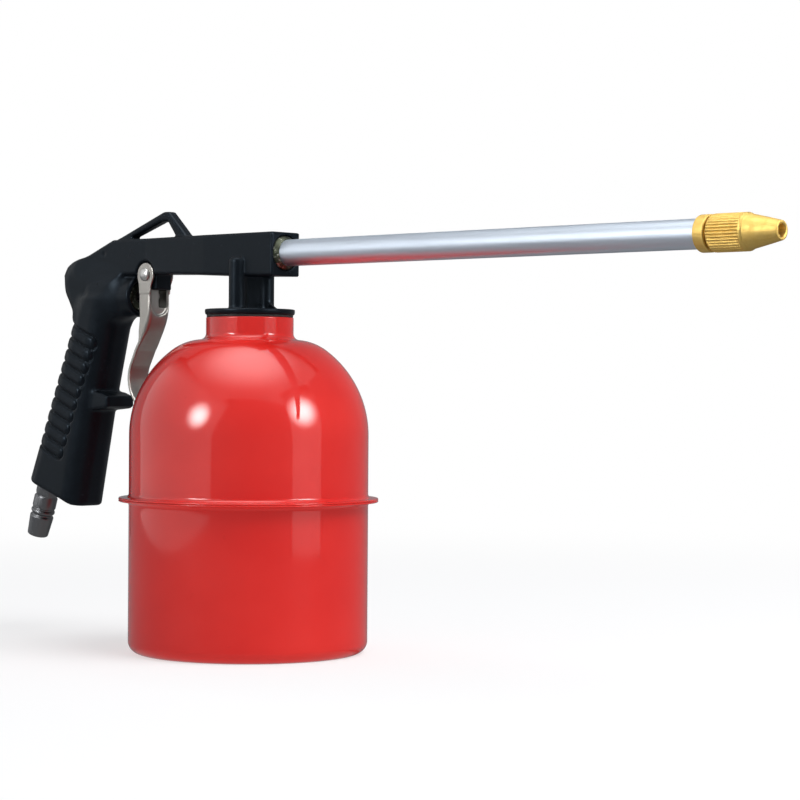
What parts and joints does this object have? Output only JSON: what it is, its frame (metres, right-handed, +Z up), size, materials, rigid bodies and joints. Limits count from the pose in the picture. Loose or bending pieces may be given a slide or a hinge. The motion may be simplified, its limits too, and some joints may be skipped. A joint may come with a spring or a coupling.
{
  "type": "air-powered degreaser spray gun",
  "caption": "Pistol-grip air spray gun with a hanging loop, a long straight barrel and an adjustable fluted nozzle, screwed onto a round-shouldered steel can.",
  "frame": {"origin": "centre of the can's flat base, which is the face it stands on", "axes": "+X along the barrel towards the spray nozzle, +Y to the gun's left, +Z up through the can's neck"},
  "size_m": [0.4049, 0.1086, 0.1864],
  "materials": {
    "red_paint": "gloss enamel on sheet steel",
    "black_coat": "die-cast aluminium alloy with a satin black coating",
    "zinc_plate": "bright zinc plate",
    "nickel_steel": "turned steel, dull nickel plate",
    "spring_steel": "drawn wire",
    "satin_steel": "pressed sheet steel, satin nickel plate",
    "alloy_tube": "drawn tube, satin",
    "brass": "turned brass",
    "copper": "soft copper",
    "rubber": "matt black rubber",
    "nylon": "natural nylon"
  },
  "bodies": {
    "canister": {"can_lower_shell": "red_paint", "can_upper_shell": "red_paint", "neck_thread_ring": "zinc_plate"},
    "lid_gasket": {"neck_gasket": "rubber"},
    "gun": {"gun_body": "black_coat", "dip_tube": "nylon", "dip_tube_filter": "brass", "inlet_nipple": "nickel_steel", "inlet_seal_washer": "copper", "valve_gland_nut": "brass", "valve_stem_oring": "rubber", "valve_seat": "brass", "valve_spring": "spring_steel", "trigger_pivot_pin": "zinc_plate", "pivot_washer": "zinc_plate", "barrel_tube": "alloy_tube", "barrel_gland_nut": "brass", "barrel_seal": "rubber", "inner_air_tube": "alloy_tube", "nozzle_adaptor": "brass", "air_jet": "brass"},
    "trigger": {"trigger_lever": "satin_steel"},
    "valve": {"valve_stem": "zinc_plate", "valve_poppet_seal": "rubber"},
    "nozzle_ring": {"nozzle_oring": "rubber"},
    "nozzle": {"nozzle_cap": "brass"}
  },
  "joints": [
    {"name": "lid_lift", "type": "slide", "parent": "canister", "child": "lid_gasket", "axis": [0, 0, 1], "range_m": [0, 0.15]},
    {"name": "lid_unscrew", "type": "hinge", "parent": "lid_gasket", "child": "gun", "pos_m": [0, 0, 0.14], "axis": [0, 0, 1], "range_deg": [0, 720]},
    {"name": "trigger_pull", "type": "hinge", "parent": "gun", "child": "trigger", "pos_m": [-0.059, 0, 0.1593], "axis": [0, 1, 0], "range_deg": [0, 11], "stiffness_Nm_per_rad": 0.5, "springref_deg": -11.46},
    {"name": "valve_travel", "type": "slide", "parent": "gun", "child": "valve", "axis": [-1, 0, 0], "range_m": [0, 0.0018], "deforming": ["valve_spring"]},
    {"name": "nozzle_advance", "type": "slide", "parent": "gun", "child": "nozzle_ring", "axis": [1, 0, 0], "range_m": [-0.0005, 0.0015]},
    {"name": "nozzle_turn", "type": "hinge", "parent": "nozzle_ring", "child": "nozzle", "pos_m": [0.231, 0, 0.1663], "axis": [1, 0, 0], "range_deg": [-180, 540]}
  ],
  "couplings": [
    {"joint": "valve_travel", "follows": "trigger_pull", "m_per_rad": 0.0093},
    {"joint": "nozzle_turn", "follows": "nozzle_advance", "rad_per_m": 6283.2}
  ]
}
